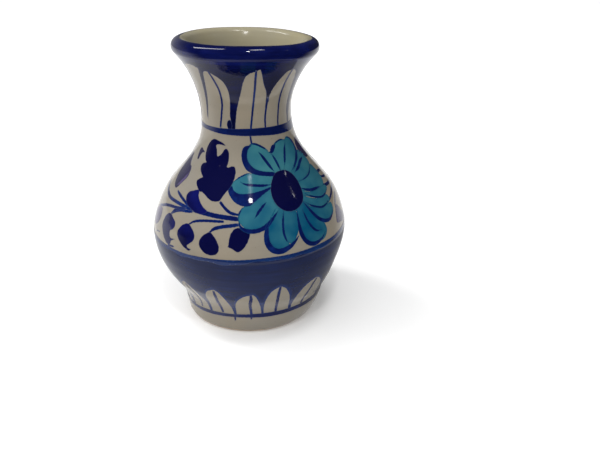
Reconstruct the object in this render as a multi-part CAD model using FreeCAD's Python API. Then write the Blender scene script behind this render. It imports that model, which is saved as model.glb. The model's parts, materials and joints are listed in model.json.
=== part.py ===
"""Hand-thrown, tin-glazed pottery flower vase.

Units are millimetres.  The frame is the potter's wheel: +Z is up along the wheel's axis and
the origin is the centre of the foot, on the surface the vase stands on.  Every piece is a ring
or a bowl of revolution, so each one is drawn as a flat section in the XZ plane, where X is the
radius, and spun once round Z.

The wall is built as a potter builds it: five leather-hard clay sections keyed into each other
with a step, a film of slip in each joint, then the glaze coats, then the painted cobalt bands.
"""

import FreeCAD
import Part

import functools
import math
import os

# ---------------------------------------------------------------- driving dimensions
OVERALL_HEIGHT = 152.0
ROLL_THICKNESS = 7.6          # rolled lip, glaze included
ROLL_RADIUS = 33.2            # from the wheel axis to the middle of the roll
ROLL_OUTER_CREASE = -50.0     # degrees round the roll where the outside of the neck meets it
ROLL_INNER_CREASE = 200.0     # and where the bore meets it

GLAZE_OUTSIDE = 0.5           # fired thickness of the white coat outside
GLAZE_INSIDE = 0.4
PAINT = 0.2                   # a cobalt band stands this far proud of the white coat
SLIP = 0.4                    # film of slip in each luted joint

WALL = 5.4                    # clay and both glazes, measured square to the surface
FLOOR_TOP = 9.0               # inside floor, glaze included
FLOOR_RADIUS = 25.0           # the flat of the floor; beyond it the bore curves up
FOOT_EDGE = 33.2              # outer edge of the ring the vase stands on
FOOT_RING_INNER = 26.5        # footwell cut under the floor
FOOT_WELL_DEPTH = 3.2
FOOT_WELL_DRAFT = 1.2
GLAZE_LINE = 2.4              # the white coat stops this far above the table

# Outside of the glazed wall as (radius, height), from the foot up to the roll.
OUTSIDE = [
    (35.6, 1.9),
    (37.2, 6.0),
    (38.9, 12.0),
    (41.0, 18.0),
    (44.4, 23.5),
    (49.2, 33.0),
    (52.6, 44.0),
    (53.2, 53.0),
    (50.6, 63.5),
    (44.6, 75.5),
    (34.6, 87.5),
    (27.0, 98.5),
    (23.8, 109.5),
    (24.0, 121.0),
    (26.8, 131.0),
    (31.0, 139.0),
]
BORE_START = 3                # the bore follows the outside from this point of it upward

# Luted joints between the clay sections, foot to lip.
SEAM_FOOT = 20.0
SEAM_WAIST = 51.5
SEAM_NECK = 109.5
SEAM_LIP = 142.0
KEY_STEP = 1.4                # height of the step that keys one section into the next

# Painted bands, foot to lip, as (bottom, top).
FOOT_LINE = (11.4, 13.8)
BELLY_BAND = (13.8, 54.0)
NECK_RING = (107.2, 111.0)
LIP_COLOUR_LINE = 143.2       # cobalt covers the roll above this height outside
LIP_CREST_INSET = 1.6         # and stops this far inside the crest
NECK_GROUND = (111.0, LIP_COLOUR_LINE)

# White petals left bare in the cobalt: half of the outline as (degrees off centre, height).
NECK_PETALS = 9
NECK_PETAL = [(18.6, 109.0), (18.2, 117.0), (16.4, 125.0), (12.8, 131.5), (7.6, 136.5), (2.4, 140.2)]
NECK_PETAL_FIRST = 5.0        # degrees; 0 faces -Y and positive angles turn towards +X
FOOT_PETALS = 16
FOOT_PETAL = [(10.3, 12.8), (10.0, 19.0), (8.0, 25.0), (4.9, 29.6), (1.4, 32.6)]
FOOT_PETAL_FIRST = -4.0
RIB_WIDTH = 1.1               # brushed line down the middle of each petal

# Painted sprays: one flower with leaves and buds on its left, on each side of the belly.
SPRAYS = (0.0, 180.0)         # degrees round the wheel axis
FLOWER_CENTRE = (27.0, 82.3)
FLOWER_REACH = (40.5, 22.8)   # degrees across and millimetres up from centre to petal tip
FLOWER_EYE = (12.5, 8.2)
FLOWER_PETALS = 12
PETAL_INNER, PETAL_OUTER = 0.40, 0.97     # where a petal starts and ends, 1 is the tip line
PETAL_HALF_ANGLE = 13.6       # degrees round the flower at the petal's widest

LOBED_LEAF = [
    (-26.5, 102.0), (-36.0, 104.2), (-44.0, 104.2), (-50.5, 100.0), (-50.0, 95.5), (-45.6, 93.0),
    (-50.4, 91.0), (-44.0, 87.0), (-45.6, 84.0), (-40.0, 81.4), (-31.0, 79.2), (-22.0, 78.6),
    (-18.9, 82.5), (-15.6, 88.0), (-15.4, 92.6), (-20.8, 92.8), (-21.6, 98.6), (-26.0, 100.4),
    (-34.0, 96.8), (-37.6, 101.4),
]
BEAN_LEAF = [
    (-39.5, 79.8), (-45.5, 79.6), (-48.4, 77.4), (-44.0, 74.6), (-37.0, 72.6), (-29.4, 72.8),
    (-31.0, 75.0), (-36.4, 77.6),
]
BUDS = [
    [(-56.0, 66.8), (-50.2, 65.0), (-50.4, 60.6), (-51.6, 57.6), (-50.6, 54.8), (-57.0, 55.2),
     (-62.0, 60.6), (-60.4, 65.2)],
    [(-38.0, 66.4), (-33.6, 62.6), (-34.6, 58.0), (-37.6, 55.4), (-43.6, 57.2), (-45.4, 62.0)],
    [(-23.2, 65.0), (-18.2, 61.2), (-18.2, 55.6), (-24.0, 55.0), (-28.8, 58.6), (-27.0, 63.0)],
    [(-8.4, 68.0), (-4.4, 65.2), (-4.2, 59.8), (-7.6, 57.2), (-11.6, 60.4), (-11.0, 65.6)],
]
STEM_WIDTH = 1.1
STEMS = [
    [(-15.8, 72.4), (-21.0, 72.6), (-28.4, 72.9)],
    [(-15.8, 75.4), (-17.6, 76.6), (-20.4, 78.0)],
    [(-47.0, 74.6), (-53.0, 75.8), (-61.0, 77.6)],
    [(-11.6, 69.6), (-18.0, 68.4), (-23.0, 65.8)],
    [(-15.4, 71.0), (-27.0, 69.8), (-37.6, 67.0)],
    [(-34.0, 71.4), (-46.0, 70.8), (-55.4, 67.4)],
]

ROLL_HEIGHT = OVERALL_HEIGHT - ROLL_THICKNESS / 2
FAR = 200.0                   # larger than the vase, for trimming sections


# ---------------------------------------------------------------- section drawing
def at(radius, height):
    """A point of the section plane."""
    return FreeCAD.Vector(radius, 0, height)


def smooth_curve(points):
    """One smooth curve through (radius, height) points."""
    curve = Part.BSplineCurve()
    curve.interpolate([at(r, z) for r, z in points])
    return curve


def on_roll(depth, degrees):
    """A point on the rolled lip, `depth` below its glaze."""
    reach = ROLL_THICKNESS / 2 - depth
    angle = math.radians(degrees)
    return ROLL_RADIUS + reach * math.cos(angle), ROLL_HEIGHT + reach * math.sin(angle)


def inset(distance):
    """The outside knots moved square to the wall, towards its inside."""
    points = OUTSIDE + [on_roll(0.0, ROLL_OUTER_CREASE)]
    curve = smooth_curve(points)
    moved = []
    for r, z in OUTSIDE:
        tangent = curve.tangent(curve.parameter(at(r, z)))[0]
        moved.append((r - tangent.z * distance, z + tangent.x * distance))
    return moved


def outside_curve(depth):
    """The outside of the wall, `depth` below the glaze, from the foot to the roll."""
    return smooth_curve(inset(depth) + [on_roll(depth, ROLL_OUTER_CREASE)])


def bore_curve(depth, glaze):
    """The inside of the wall, from the edge of the floor to the roll."""
    floor = (FLOOR_RADIUS, FLOOR_TOP - WALL + depth)
    points = [floor] + inset(depth)[BORE_START:] + [on_roll(glaze, ROLL_INNER_CREASE)]
    return smooth_curve(points)


def arc(start, middle, end):
    return Part.Arc(at(*start), at(*middle), at(*end)).toShape()


def lines(points):
    return Part.makePolygon([at(r, z) for r, z in points]).Edges


def polygon(points):
    """A flat face with straight sides."""
    return Part.Face(Part.Wire(lines(points + points[:1])))


def slab(bottom, top, inner=0.0, outer=FAR):
    """A horizontal strip of the section plane."""
    return polygon([(inner, bottom), (outer, bottom), (outer, top), (inner, top)])


def spin(section):
    """Turns a flat section once round the wheel axis into solids."""
    turned = section.revolve(FreeCAD.Vector(0, 0, 0), FreeCAD.Vector(0, 0, 1), 360)
    solids = turned.Solids
    return solids[0] if len(solids) == 1 else Part.makeCompound(solids)


# ---------------------------------------------------------------- sections of the whole pot
def wall_area(outer_depth, bore_depth, bore_glaze):
    """Half the section of the pot between an outer and an inner surface, roll included."""
    outside = outside_curve(outer_depth)
    bore = bore_curve(bore_depth, bore_glaze)
    floor = FLOOR_TOP - WALL + bore_depth
    first = inset(outer_depth)[0]
    foot_middle = (FOOT_EDGE + 0.7 * (first[0] - FOOT_EDGE), 0.25 * first[1])
    over_the_roll = arc(
        on_roll(outer_depth, ROLL_OUTER_CREASE),
        on_roll(outer_depth, 75.0),
        on_roll(outer_depth, ROLL_INNER_CREASE),
    )
    underside = lines([
        (0, floor),
        (0, FOOT_WELL_DEPTH),
        (FOOT_RING_INNER - FOOT_WELL_DRAFT, FOOT_WELL_DEPTH),
        (FOOT_RING_INNER, 0),
        (FOOT_EDGE, 0),
    ])
    edges = [arc((FOOT_EDGE, 0), foot_middle, first), outside.toShape(), over_the_roll]
    edges += [bore.toShape()] + lines([(FLOOR_RADIUS, floor), (0, floor)]) + underside
    return Part.Face(Part.Wire(Part.__sortEdges__(edges)))


def clay_area():
    """The bare clay: the whole wall less its glazes."""
    return wall_area(GLAZE_OUTSIDE, WALL - GLAZE_INSIDE, GLAZE_OUTSIDE)


def glazed_area():
    return wall_area(0.0, WALL, 0.0)


def middle_of_wall(height):
    """The radius half way through the clay at a height."""
    box = clay_area().common(slab(height - 0.05, height + 0.05)).BoundBox
    return (box.XMin + box.XMax) / 2


def below_seam(height, raise_by):
    """The area below a keyed joint: its inner half stands one step higher than its outer."""
    step = middle_of_wall(height) + raise_by
    low, high = height + raise_by, height + KEY_STEP + raise_by
    return polygon([(-1, -FAR), (FAR, -FAR), (FAR, low), (step, low), (step, high), (-1, high)])


# ---------------------------------------------------------------- pieces
def clay_sections(clay):
    """The five sections thrown and trimmed apart, and the slip between them."""
    names = ["clay_foot", "clay_lower_belly", "clay_shoulder", "clay_neck", "clay_lip_roll"]
    joints = ["slip_joint_foot", "slip_joint_waist", "slip_joint_neck", "slip_joint_lip"]
    seams = [SEAM_FOOT, SEAM_WAIST, SEAM_NECK, SEAM_LIP]
    pieces = {}
    rest = clay
    for name, joint, seam in zip(names, joints, seams):
        film_bottom = below_seam(seam, 0.0)
        film_top = below_seam(seam, SLIP)
        pieces[name] = rest.common(film_bottom)
        pieces[joint] = rest.common(film_top).cut(film_bottom)
        rest = rest.cut(film_top)
    pieces[names[-1]] = rest
    return pieces


def glaze_coats(clay):
    """The white liner, the white outer coat and the cobalt coat on the roll."""
    coat = glazed_area().cut(clay)
    lip = slab(LIP_COLOUR_LINE, FAR, inner=ROLL_RADIUS - LIP_CREST_INSET)
    # A line halfway through the clay parts the liner from the outer coat.
    middle = [(0, FAR), (0, FOOT_WELL_DEPTH + 1)] + inset(WALL / 2)
    middle += [(ROLL_RADIUS, ROLL_HEIGHT), (ROLL_RADIUS, FAR)]
    inside = coat.common(polygon(middle))
    outside = coat.cut(polygon(middle))
    return {
        "white_liner_glaze": inside.cut(lip),
        "white_outer_glaze": outside.cut(lip).common(slab(GLAZE_LINE, FAR)),
        "cobalt_lip_glaze": coat.common(lip),
    }


@functools.cache
def radius_at(height):
    """The radius of the glazed outside at a height."""
    return slab(height - 0.01, height + 0.01).common(glazed_area()).BoundBox.XMax


def seen_square_on(outline, facing):
    """An outline of (degrees round the axis, height) as points on the plane it faces."""
    points = []
    for angle, height in outline:
        across = radius_at(round(height, 2)) * math.sin(math.radians(angle - facing))
        points.append(at(across, height))
    return points


def prism_of(face, angle):
    """A prism run straight out from the wheel axis, then turned to face `angle`."""
    prism = face.extrude(FreeCAD.Vector(0, -FAR, 0))
    prism.rotate(FreeCAD.Vector(0, 0, 0), FreeCAD.Vector(0, 0, 1), angle)
    return prism


def blob(outline, turn=0.0):
    """A prism with one smooth closed edge through the outline's points."""
    facing = sum(angle for angle, _ in outline) / len(outline)
    curve = Part.BSplineCurve()
    curve.interpolate(seen_square_on(outline, facing), PeriodicFlag=True)
    return prism_of(Part.Face(Part.Wire([curve.toShape()])), facing + turn)


def on_film(film, prisms):
    """The paint that a set of prisms marks out on a film, as one solid each."""
    return Part.makeCompound([solid for prism in prisms for solid in film.common(prism).Solids])


def mirrored(half):
    """A whole petal from one side of its outline."""
    return half + [(-angle, height) for angle, height in reversed(half)]


def stroke(path, width, turn=0.0):
    """A prism of even width along a path, with square ends."""
    facing = sum(angle for angle, _ in path) / len(path)
    middle = Part.BSplineCurve()
    middle.interpolate(seen_square_on(path, facing))
    sides = []
    for side in (-width / 2, width / 2):
        moved = []
        for point in seen_square_on(path, facing):
            tangent = middle.tangent(middle.parameter(point))[0]
            moved.append(point + FreeCAD.Vector(-tangent.z, 0, tangent.x) * side)
        curve = Part.BSplineCurve()
        curve.interpolate(moved)
        sides.append(curve)
    near = Part.makeLine(sides[0].StartPoint, sides[1].StartPoint)
    far = Part.makeLine(sides[0].EndPoint, sides[1].EndPoint)
    edges = [sides[0].toShape(), far, sides[1].toShape(), near]
    return prism_of(Part.Face(Part.Wire(Part.__sortEdges__(edges))), facing + turn)


def film_area(bottom, top):
    """A film of paint on the outside of the glaze between two heights."""
    low, high = outside_curve(0.0), outside_curve(-PAINT)
    ends = [(low.StartPoint, high.StartPoint), (low.EndPoint, high.EndPoint)]
    sides = [Part.makeLine(a, b) for a, b in ends]
    edges = [low.toShape(), high.toShape()] + sides
    whole = Part.Face(Part.Wire(Part.__sortEdges__(edges)))
    return whole.common(slab(bottom, top))


def ring_of_petals(half, count, first):
    """The windows of one ring of petals, and the rib painted down each."""
    centres = [first + 360.0 / count * i for i in range(count)]
    low, high = half[0][1], half[-1][1]
    rib = [(0.0, low), (0.0, (low + high) / 2), (0.0, high + 1.0)]
    windows = [blob(mirrored(half), centre) for centre in centres]
    ribs = [stroke(rib, RIB_WIDTH, centre) for centre in centres]
    return windows, ribs


def petal_band(span, half, count, first):
    """A cobalt band with a ring of bare petals, and the ribs as separate strokes."""
    windows, ribs = ring_of_petals(half, count, first)
    film = spin(film_area(*span))
    band = film.cut(windows)
    strokes = [film.common(window).common(rib) for window, rib in zip(windows, ribs)]
    return band, Part.makeCompound([solid for s in strokes for solid in s.Solids])


def round_flower(reach, turn):
    """A point of the flower's own chart: `reach` from its centre, `turn` degrees round it."""
    turn = math.radians(turn)
    across = FLOWER_CENTRE[0] + FLOWER_REACH[0] * reach * math.cos(turn)
    return across, FLOWER_CENTRE[1] + FLOWER_REACH[1] * reach * math.sin(turn)


def flower_petal(turn):
    """A rounded petal, narrow at the eye and widest near its tip."""
    low, high = PETAL_INNER, PETAL_OUTER
    widest = low + 0.66 * (high - low)
    near_tip = low + 0.93 * (high - low)
    return [
        round_flower(low, turn),
        round_flower(widest, turn - PETAL_HALF_ANGLE),
        round_flower(near_tip, turn - 0.6 * PETAL_HALF_ANGLE),
        round_flower(high, turn),
        round_flower(near_tip, turn + 0.6 * PETAL_HALF_ANGLE),
        round_flower(widest, turn + PETAL_HALF_ANGLE),
    ]


def flower_eye():
    across, up = FLOWER_EYE
    middle_x, middle_z = FLOWER_CENTRE
    turns = [math.radians(45 * i) for i in range(8)]
    return [(middle_x + across * math.cos(t), middle_z + up * math.sin(t)) for t in turns]


def painted_motifs():
    """The flowers, leaves, buds and stems brushed on the belly, one spray on each side."""
    film = spin(film_area(BELLY_BAND[1], NECK_RING[0]))
    step = 360.0 / FLOWER_PETALS
    drawn = {
        "turquoise_flower_petals": [flower_petal(step * (i + 0.5)) for i in range(FLOWER_PETALS)],
        "cobalt_flower_eyes": [flower_eye()],
        "indigo_lobed_leaves": [LOBED_LEAF],
        "indigo_bean_leaves": [BEAN_LEAF],
        "indigo_buds": BUDS,
    }
    motifs = {}
    for name, outlines in drawn.items():
        prisms = [blob(outline, turn) for turn in SPRAYS for outline in outlines]
        motifs[name] = on_film(film, prisms)
    stems = [stroke(path, STEM_WIDTH, turn) for turn in SPRAYS for path in STEMS]
    motifs["cobalt_stems"] = on_film(film, stems)
    return motifs


def painted_bands():
    """Bands of cobalt brushed on the white coat as the wheel turns."""
    ground, neck_ribs = petal_band(NECK_GROUND, NECK_PETAL, NECK_PETALS, NECK_PETAL_FIRST)
    belly, foot_ribs = petal_band(BELLY_BAND, FOOT_PETAL, FOOT_PETALS, FOOT_PETAL_FIRST)
    return {
        "cobalt_foot_line": spin(film_area(*FOOT_LINE)),
        "cobalt_belly_band": belly,
        "cobalt_foot_petal_ribs": foot_ribs,
        "cobalt_neck_ring": spin(film_area(*NECK_RING)),
        "cobalt_neck_ground": ground,
        "cobalt_neck_petal_ribs": neck_ribs,
    }


def main():
    os.makedirs("parts", exist_ok=True)
    clay = clay_area()
    sections = {**clay_sections(clay), **glaze_coats(clay)}
    shapes = {name: spin(section) for name, section in sections.items()}
    shapes.update(painted_bands())
    shapes.update(painted_motifs())
    for name, shape in shapes.items():
        shape.exportStep(f"parts/{name}.step")
        size = shape.BoundBox
        print(f"{name}: {len(shape.Solids)} solid, {shape.Volume / 1000:.3f} cm3, "
              f"valid {shape.isValid()}, z {size.ZMin:.2f} to {size.ZMax:.2f}, r {size.XMax:.2f}")


main()
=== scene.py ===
"""Looks for the hand-thrown, glazed pottery vase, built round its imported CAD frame.

Everything is laid out on the pot's own chart: an angle round the wheel axis in degrees (0 faces
-Y, positive towards +X) and a height in millimetres.  `on_pot` turns chart points into points on
the glaze, and `warp` adds the lean, the throwing rings and the uneven lip of a hand-thrown pot to
every layer alike, so that clay, glaze and paint stay nested.
"""

import json
import math
import random

import bmesh
import bpy
import numpy as np
from mathutils import Matrix, Vector
from mathutils.geometry import delaunay_2d_cdt


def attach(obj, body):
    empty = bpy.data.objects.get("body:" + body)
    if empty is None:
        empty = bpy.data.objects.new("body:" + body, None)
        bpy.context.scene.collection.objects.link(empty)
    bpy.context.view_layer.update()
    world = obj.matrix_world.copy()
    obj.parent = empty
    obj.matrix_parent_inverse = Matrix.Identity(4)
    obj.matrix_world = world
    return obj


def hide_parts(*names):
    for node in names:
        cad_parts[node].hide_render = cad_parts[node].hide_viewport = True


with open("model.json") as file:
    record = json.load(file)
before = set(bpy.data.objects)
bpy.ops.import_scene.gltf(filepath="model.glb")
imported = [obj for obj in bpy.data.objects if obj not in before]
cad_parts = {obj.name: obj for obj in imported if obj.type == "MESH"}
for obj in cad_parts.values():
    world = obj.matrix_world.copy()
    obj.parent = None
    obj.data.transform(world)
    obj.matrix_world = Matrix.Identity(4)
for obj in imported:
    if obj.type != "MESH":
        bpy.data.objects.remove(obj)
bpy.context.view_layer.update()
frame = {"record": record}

MM = 0.001

# ---------------------------------------------------------------- pot dimensions, as in the CAD
OVERALL_HEIGHT = frame["record"]["size"]["bbox_m"][2] / MM
ROLL_THICKNESS = 7.6
ROLL_RADIUS = 33.2
ROLL_HEIGHT = OVERALL_HEIGHT - ROLL_THICKNESS / 2
ROLL_OUTER_CREASE = -50.0     # degrees round the roll where the neck meets it outside
ROLL_INNER_CREASE = 200.0     # and inside
GLAZE_OUTSIDE = 0.5
GLAZE_INSIDE = 0.4
WALL = 5.4
FLOOR_TOP = 9.0
FLOOR_RADIUS = 25.0
FOOT_EDGE = 33.2
FOOT_RING_INNER = 26.5
FOOT_WELL_DEPTH = 3.2
FOOT_WELL_DRAFT = 1.2
GLAZE_LINE = 1.9              # the thinned edge of the white coat runs down to here
OUTSIDE = [                   # (radius, height) from the foot up to the roll
    (35.6, 1.9), (37.2, 6.0), (38.9, 12.0), (41.0, 18.0), (44.4, 23.5), (49.2, 33.0),
    (52.6, 44.0), (53.2, 53.0), (50.6, 63.5), (44.6, 75.5), (34.6, 87.5), (27.0, 98.5),
    (23.8, 109.5), (24.0, 121.0), (26.8, 131.0), (31.0, 139.0), (35.64, 145.29),
]
SEAMS = [20.0, 51.5, 109.5, 142.0]
SLIP = 0.4
MID_FLOOR = 12.0              # a ring of points part of the way in, for an even mesh

# How far the pot wanders sideways from the wheel axis as it rises: (height, millimetres to +X).
LEAN = [(0, 0.0), (10, 1.9), (19, 1.4), (32, -0.2), (54, 0.0), (76, 0.4), (98, -0.6),
        (118, -2.3), (137, -2.4), (152, -2.2)]
OVAL, THREE_SIDED = 0.22, 0.12      # millimetres by which the walls are out of round
MEAN_RADIUS = 45.0            # turns those millimetres into a share of the radius
HAIR = 0.045                  # raggedness of the painted edges
PAINT_ROOT = 0.12             # how far the paint reaches down into the white coat
THROWING_RINGS = 0.02         # height of the finger ridges
RING_PITCH = 6.5
LIP_WAVE = 0.45               # how far the lip rises and falls
ROLL_SWELL = 0.10             # how much fuller the hand left the roll
LIP_PAINT_EDGE = 99.0         # degrees round the roll where its cobalt stops, just past the crest
LIP_PAINT_SHORT = 14.0        # and how many fewer at the back, where the brush reached less far

GLAZE_IOR = 1.35              # softer than clear glass, as an old-fashioned lead-free glaze looks
WHITE_SHOWING = (0.085, 0.090, 0.115)      # what shows through the thinned edge of a stroke
TEAL_SHOWING = (0.012, 0.075, 0.120)       # the same where the stroke lies on turquoise
MOST_SHOWING = 0.75

# ---------------------------------------------------------------- smooth curves
def cubic_through(points):
    """A natural cubic curve y(x) through points given as (x, y)."""
    x, y = (np.array(column, float) for column in zip(*points))
    n, gap = len(x), np.diff(x)
    rows, right = np.eye(n), np.zeros(n)
    for i in range(1, n - 1):
        rows[i, i - 1:i + 2] = gap[i - 1], 2 * (gap[i - 1] + gap[i]), gap[i]
        right[i] = 6 * ((y[i + 1] - y[i]) / gap[i] - (y[i] - y[i - 1]) / gap[i - 1])
    bend = np.linalg.solve(rows, right)

    def curve(at):
        at = np.asarray(at, float)
        i = np.clip(np.searchsorted(x, at) - 1, 0, n - 2)
        a, b = (x[i + 1] - at) / gap[i], (at - x[i]) / gap[i]
        curved = ((a**3 - a) * bend[i] + (b**3 - b) * bend[i + 1]) * gap[i] ** 2 / 6
        return a * y[i] + b * y[i + 1] + curved

    return curve


def smoothstep(low, high, value):
    t = np.clip((value - low) / (high - low), 0, 1)
    return t * t * (3 - 2 * t)


radius_at = cubic_through([(z, r) for r, z in OUTSIDE])
lean_at = cubic_through(LEAN)


def slope_at(height):
    return (radius_at(height + 0.05) - radius_at(height - 0.05)) / 0.1


def warp(points):
    """Bends points of the true pot, in millimetres, into the hand-thrown one."""
    x, y, z = points.T
    round_axis = np.arctan2(x, -y)
    reach = np.hypot(x, y)
    ridge = THROWING_RINGS * np.sin(2 * np.pi * z / RING_PITCH + round_axis)
    ridge *= smoothstep(8, 30, z) * smoothstep(150, 138, z)
    sway = OVAL * np.sin(2 * round_axis + 0.6 + z / 40)
    sway += THREE_SIDED * np.sin(3 * round_axis + z / 23)
    grown = 1 + (ridge + sway * smoothstep(2, 25, z)) / MEAN_RADIUS
    fuller = ROLL_SWELL * smoothstep(138, 147, z)
    grown += fuller * (reach - ROLL_RADIUS) / np.maximum(reach, 1)
    lip = smoothstep(128, 150, z)
    wave = 0.6 + 0.6 * np.sin(round_axis - 0.5) + 0.5 * np.cos(2 * round_axis - 0.3)
    wave += 0.2 * np.sin(5 * round_axis + 1.0)
    lifted = z + LIP_WAVE * lip * wave + fuller * (z - ROLL_HEIGHT)
    return np.stack([x * grown + lean_at(z), y * grown, lifted], axis=1)


def on_pot(chart, lift):
    """Chart points (degrees, height) as millimetre points `lift` above the glaze, and normals."""
    chart = np.asarray(chart, float)

    def surface(angle, height):
        slope = slope_at(height)
        square = np.sqrt(1 + slope ** 2)
        r, z = radius_at(height) + lift / square, height - lift * slope / square
        turn = np.radians(angle)
        return warp(np.stack([r * np.sin(turn), -r * np.cos(turn), z], axis=1))

    angle, height = chart.T
    here = surface(angle, height)
    across = surface(angle + 0.5, height) - surface(angle - 0.5, height)
    up = surface(angle, height + 0.25) - surface(angle, height - 0.25)
    normal = np.cross(across, up)
    return here, normal / np.linalg.norm(normal, axis=1)[:, None]


# ---------------------------------------------------------------- mesh helpers
def new_object(name, vertices, faces, material, normals=None):
    """A smooth mesh object from millimetre vertices."""
    mesh = bpy.data.meshes.new(name)
    mesh.from_pydata((np.asarray(vertices) * MM).tolist(), [], [list(map(int, f)) for f in faces])
    mesh.polygons.foreach_set("use_smooth", [True] * len(mesh.polygons))
    mesh.materials.append(material)
    mesh.update()
    if normals is not None:
        mesh.normals_split_custom_set_from_vertices(np.asarray(normals).tolist())
    made = bpy.data.objects.new(name, mesh)
    bpy.context.scene.collection.objects.link(made)
    return made


def finish_piece(piece, slot, *nodes):
    """Rides the one body and hides the CAD nodes that it stands for.  `slot` is not used."""
    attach(piece, "root")
    if nodes:
        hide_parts(*nodes)
    return piece


def point_values(made, label, values):
    """Stores one number per vertex, for a material to read."""
    layer = made.data.attributes.new(label, "FLOAT", "POINT")
    layer.data.foreach_set("value", np.asarray(values, np.float32))


def revolved(name, sections, material):
    """A closed ring through sections of (radius, height) points, evenly spaced, then warped."""
    sections = [np.asarray(section, float) for section in sections]
    segments, count = len(sections), len(sections[0])
    rings = []
    for i, (r, z) in enumerate(section.T for section in sections):
        turn = 2 * math.pi * i / segments
        rings.append(np.stack([r * math.sin(turn), -r * math.cos(turn), z], axis=1))
    on_axis = sections[0][:, 0] < 1e-6
    faces = []
    for i in range(segments):
        here, there = i * count, (i + 1) % segments * count
        for j in range(count):
            k = (j + 1) % count
            quad = [here + j, there + j, there + k, here + k]
            if on_axis[j] and on_axis[k]:
                continue
            if on_axis[j]:
                quad.remove(there + j)
            elif on_axis[k]:
                quad.remove(there + k)
            faces.append(quad)
    made = new_object(name, warp(np.concatenate(rings)), faces, material)
    weld(made)
    return made


def lathe(name, section, material, segments=192):
    """A solid of revolution from one closed section."""
    return revolved(name, [section] * segments, material)


def weld(made):
    """Joins the vertices that meet on the wheel axis, and points every face outwards."""
    mesh = bmesh.new()
    mesh.from_mesh(made.data)
    bmesh.ops.remove_doubles(mesh, verts=mesh.verts, dist=1e-7)
    loose = [v for v in mesh.verts if not v.link_faces]
    bmesh.ops.delete(mesh, geom=loose, context="VERTS")
    bmesh.ops.recalc_face_normals(mesh, faces=mesh.faces)
    mesh.to_mesh(made.data)
    mesh.free()


# ---------------------------------------------------------------- wall sections
def roll_point(depth, degrees):
    reach = ROLL_THICKNESS / 2 - depth
    turn = math.radians(degrees)
    return ROLL_RADIUS + reach * math.cos(turn), ROLL_HEIGHT + reach * math.sin(turn)


def roll_arc(depth, first, last, count=24):
    return [roll_point(depth, a) for a in np.linspace(first, last, count)]


def inset_knots(depth):
    moved = []
    for r, z in OUTSIDE[:-1]:
        slope = float(slope_at(z))
        square = math.sqrt(1 + slope ** 2)
        moved.append((r - depth / square, z + depth * slope / square))
    return moved


def outer_line(depth, low, high, step=1.2):
    """The outside of the wall, `depth` below the glaze, between two heights."""
    knots = inset_knots(depth) + [roll_point(depth, ROLL_OUTER_CREASE)]
    curve = cubic_through([(z, r) for r, z in knots])
    low, high = max(low, knots[0][1]), min(high, knots[-1][1])
    heights = np.linspace(low, high, max(2, int((high - low) / step)))
    return [(float(curve(z)), float(z)) for z in heights]


def bore_line(depth, glaze, low, high, step=1.2):
    """The inside of the wall, from the edge of the floor up to the roll."""
    floor = FLOOR_TOP - WALL + depth
    knots = inset_knots(depth)[4:] + [roll_point(glaze, ROLL_INNER_CREASE)]
    corner_r, corner_z = knots[0]
    curve = cubic_through([(z, r) for r, z in knots])
    start = max(low, corner_z)
    heights = np.linspace(start, min(high, knots[-1][1]), max(2, int((high - start) / step)))
    line = [(float(curve(z)), float(z)) for z in heights]
    if low > floor:
        return line
    corner = []
    for t in np.linspace(0, 1, 12)[:-1]:
        a, b, c = (1 - t) ** 2, 2 * t * (1 - t), t ** 2
        r = a * FLOOR_RADIUS + b * (corner_r - 2.2) + c * corner_r
        corner.append((r, (a + b) * floor + c * corner_z))
    return corner + line


# ---------------------------------------------------------------- painted patches
def curve_span(p0, p1, p2, p3, step=0.45):
    """The Catmull-Rom stretch from p1 to p2, sampled about every `step` millimetres."""
    reach = np.hypot((p2[0] - p1[0]) * 0.75, p2[1] - p1[1])
    return [0.5 * (2 * p1 + (p2 - p0) * t + (2 * p0 - 5 * p1 + 4 * p2 - p3) * t * t
                   + (3 * p1 - p0 - 3 * p2 + p3) * t**3)
            for t in np.arange(0, 1, 1 / max(2, int(reach / step)))]


def smooth_run(points):
    """A smooth open run through chart points."""
    points = [np.array(p, float) for p in points]
    if len(points) < 3:
        return points
    ends = [2 * points[0] - points[1]] + points + [2 * points[-1] - points[-2]]
    spans = (curve_span(*four) for four in zip(ends, ends[1:], ends[2:], ends[3:]))
    return [p for span in spans for p in span] + [points[-1]]


def closed_outline(*runs):
    """A closed outline of smooth runs that meet at corners.  One run closes smoothly."""
    if len(runs) == 1:
        loop = [np.array(p, float) for p in runs[0]]
        fours = zip(loop[-1:] + loop, loop, loop[1:] + loop, loop[2:] + loop)
        return np.array([p for four in fours for p in curve_span(*four)])
    whole = []
    for run, following in zip(runs, runs[1:] + runs[:1]):
        whole += smooth_run(list(run) + [following[0]])[:-1]
    return np.array(whole)


def millimetres_per_degree(height):
    return np.asarray(radius_at(height)) * math.pi / 180


def brush_outline(path, width, start=0.35, end=0.35, blunt=0.12):
    """The outline of one brush stroke along a path: full in the middle, thin at its ends.

    `start` and `end` are the shares of its length over which the stroke swells and thins.
    """
    line = np.array(smooth_run(path))
    scale = millimetres_per_degree(line[:, 1].mean())
    flat = line * [scale, 1.0]
    along = np.concatenate([[0], np.cumsum(np.hypot(*np.diff(flat, axis=0).T))])
    share = along / along[-1]
    swell = np.minimum(smoothstep(-blunt, max(start, 1e-3), share), 1)
    swell = swell * smoothstep(-blunt, max(end, 1e-3), 1 - share)
    heading = np.gradient(flat, axis=0)
    heading /= np.linalg.norm(heading, axis=1)[:, None]
    aside = np.stack([-heading[:, 1], heading[:, 0]], axis=1) * (width / 2 * swell)[:, None]
    left, right = flat + aside, flat - aside
    return np.concatenate([left, right[::-1]]) / [scale, 1.0]


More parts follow.
